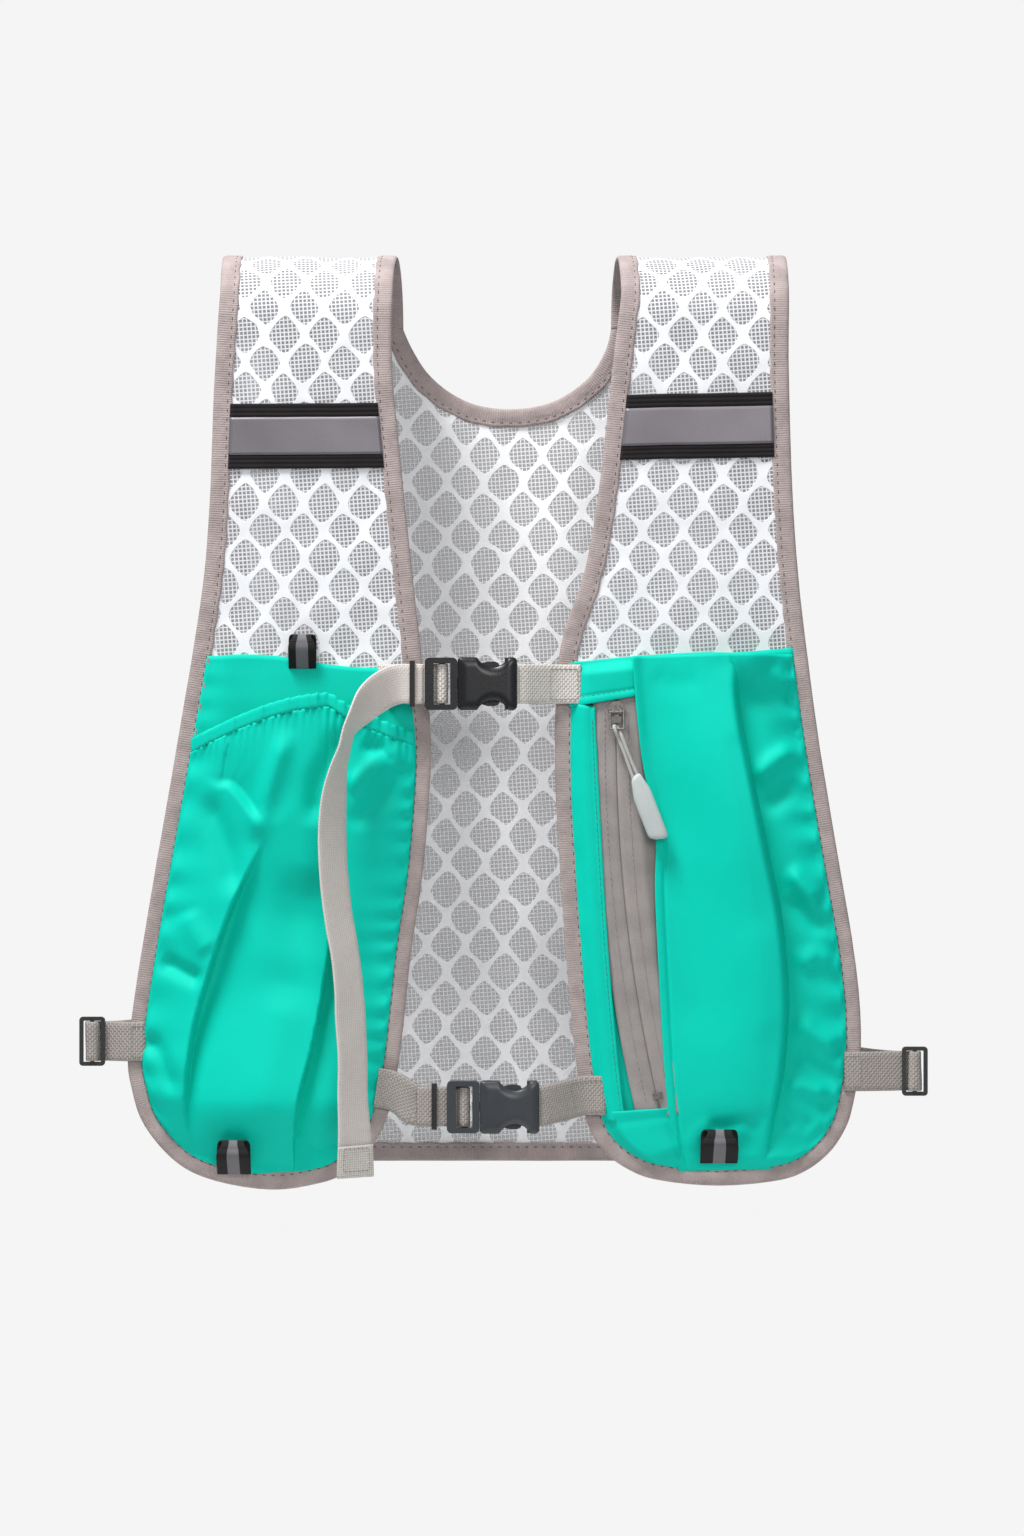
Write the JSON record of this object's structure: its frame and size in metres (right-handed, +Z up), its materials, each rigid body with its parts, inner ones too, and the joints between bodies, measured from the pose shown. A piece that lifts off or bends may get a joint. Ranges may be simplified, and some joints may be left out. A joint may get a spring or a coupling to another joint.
{
  "type": "reflective vest",
  "caption": "Sleeveless mesh vest with an open bottle pocket, a zipped pocket, reflective chest bands, two side-release buckle straps and side adjusters.",
  "frame": {"origin": "top of the two shoulder folds, midway between them, where the vest hangs on a hanger or on the wearer's shoulders", "axes": "+Z up, -Y towards the wearer's front, +X towards the zipped pocket (the wearer's left)"},
  "size_m": [0.4253, 0.1061, 0.472],
  "materials": {
    "mesh_fabric": "white diamond mesh knit",
    "edge_binding": "matt ribbed elastic",
    "reflector_backing": "black ribbed tape",
    "reflector": "grey retroreflective film",
    "pocket_cloth": "smooth stretch woven",
    "loop_ribbon": "woven ribbon with reflective stripe",
    "zip_tape": "twill zip tape",
    "zip_metal": "satin painted",
    "pull_cord": "braided cord",
    "pull_grip": "satin moulded",
    "webbing": "plain weave webbing",
    "buckle_plastic": "fine satin moulded",
    "keeper_elastic": "matt"
  },
  "bodies": {
    "root": {"back_panel": "mesh_fabric", "bottle_front_panel": "mesh_fabric", "zip_front_panel": "mesh_fabric", "bottle_edge_binding": "edge_binding", "zip_edge_binding": "edge_binding", "neck_binding": "edge_binding", "hem_binding": "edge_binding", "bottle_back_side_binding": "edge_binding", "zip_back_side_binding": "edge_binding", "shoulder_seam_tapes": "edge_binding", "bottle_reflector_backing": "reflector_backing", "bottle_reflector": "reflector", "zip_reflector_backing": "reflector_backing", "zip_reflector": "reflector", "bottle_pocket_back": "pocket_cloth", "bottle_pocket_front": "pocket_cloth", "bottle_pocket_elastic": "pocket_cloth", "bottle_top_loop": "loop_ribbon", "bottle_hem_loop": "loop_ribbon", "zip_hem_loop": "loop_ribbon", "zip_pocket_back": "pocket_cloth", "zip_pocket_strip": "pocket_cloth", "zip_pocket_top_tab": "pocket_cloth", "zip_pocket_pleat": "pocket_cloth", "zip_pocket_gusset": "pocket_cloth", "zip_tape_inner": "zip_tape", "zip_tape_outer": "zip_tape", "zip_coil_inner": "zip_tape", "zip_coil_outer": "zip_tape", "zip_bottom_stop": "zip_metal", "chest_webbing_fixed": "webbing", "chest_buckle_female": "buckle_plastic", "chest_webbing_base": "webbing", "waist_webbing_fixed": "webbing", "waist_buckle_female": "buckle_plastic", "waist_webbing_base": "webbing", "bottle_side_strap": "webbing", "zip_side_strap": "webbing"},
    "zip_slider": {"zip_slider": "zip_metal"},
    "zip_bail": {"zip_bail": "zip_metal"},
    "zip_pull": {"zip_pull_cord": "pull_cord", "zip_pull_grip": "pull_grip"},
    "chest_male": {"chest_buckle_male": "buckle_plastic", "chest_webbing_tail": "webbing"},
    "chest_prong_upper": {"chest_prong_upper": "buckle_plastic"},
    "chest_prong_lower": {"chest_prong_lower": "buckle_plastic"},
    "chest_keeper": {"chest_keeper": "keeper_elastic"},
    "waist_male": {"waist_buckle_male": "buckle_plastic"},
    "waist_prong_upper": {"waist_prong_upper": "buckle_plastic"},
    "waist_prong_lower": {"waist_prong_lower": "buckle_plastic"},
    "waist_keeper": {"waist_keeper": "keeper_elastic"},
    "bottle_side_slider": {"bottle_side_slider": "buckle_plastic"},
    "zip_side_slider": {"zip_side_slider": "buckle_plastic"}
  },
  "joints": [
    {"name": "zip_slide", "type": "hinge", "parent": "root", "child": "zip_slider", "pos_m": [0.8791, -0.038, -0.24256], "axis": [0, -1, 0], "range_deg": [0, 10.07]},
    {"name": "zip_bail_flip", "type": "hinge", "parent": "zip_slider", "child": "zip_bail", "pos_m": [0.05637, -0.0413, -0.231], "axis": [-0.9999, 0, -0.014], "range_deg": [0, 140]},
    {"name": "zip_pull_swing", "type": "hinge", "parent": "zip_bail", "child": "zip_pull", "pos_m": [0.05649, -0.04438, -0.23946], "axis": [0, 1, 0], "range_deg": [-4, 50]},
    {"name": "chest_release", "type": "slide", "parent": "root", "child": "chest_male", "axis": [-1, 0, 0], "range_m": [0, 0.022], "deforming": ["chest_webbing_base"]},
    {"name": "chest_prong_upper_flex", "type": "hinge", "parent": "chest_male", "child": "chest_prong_upper", "pos_m": [-0.022, -0.045, -0.2095], "axis": [0, 1, 0], "range_deg": [0, 6], "stiffness_Nm_per_rad": 0.05},
    {"name": "chest_prong_lower_flex", "type": "hinge", "parent": "chest_male", "child": "chest_prong_lower", "pos_m": [-0.022, -0.045, -0.2245], "axis": [0, -1, 0], "range_deg": [0, 6], "stiffness_Nm_per_rad": 0.05},
    {"name": "chest_keeper_slide", "type": "slide", "parent": "chest_male", "child": "chest_keeper", "axis": [-1, 0, 0], "range_m": [-0.003, 0.004]},
    {"name": "waist_release", "type": "slide", "parent": "root", "child": "waist_male", "axis": [-1, 0, 0], "range_m": [0, 0.022], "deforming": ["waist_webbing_base"]},
    {"name": "waist_prong_upper_flex", "type": "hinge", "parent": "waist_male", "child": "waist_prong_upper", "pos_m": [-0.011, -0.045, -0.4205], "axis": [0, 1, 0], "range_deg": [0, 6], "stiffness_Nm_per_rad": 0.05},
    {"name": "waist_prong_lower_flex", "type": "hinge", "parent": "waist_male", "child": "waist_prong_lower", "pos_m": [-0.011, -0.045, -0.4355], "axis": [0, -1, 0], "range_deg": [0, 6], "stiffness_Nm_per_rad": 0.05},
    {"name": "waist_keeper_slide", "type": "slide", "parent": "waist_male", "child": "waist_keeper", "axis": [-1, 0, 0], "range_m": [-0.003, 0.004]},
    {"name": "bottle_side_slide", "type": "slide", "parent": "root", "child": "bottle_side_slider", "axis": [1, 0, 0], "range_m": [0, 0.008], "deforming": ["bottle_side_strap"]},
    {"name": "zip_side_slide", "type": "slide", "parent": "root", "child": "zip_side_slider", "axis": [-1, 0, 0], "range_m": [0, 0.014], "deforming": ["zip_side_strap"]}
  ],
  "couplings": [
    {"joint": "chest_prong_lower_flex", "follows": "chest_prong_upper_flex", "ratio": 1},
    {"joint": "waist_prong_lower_flex", "follows": "waist_prong_upper_flex", "ratio": 1}
  ]
}
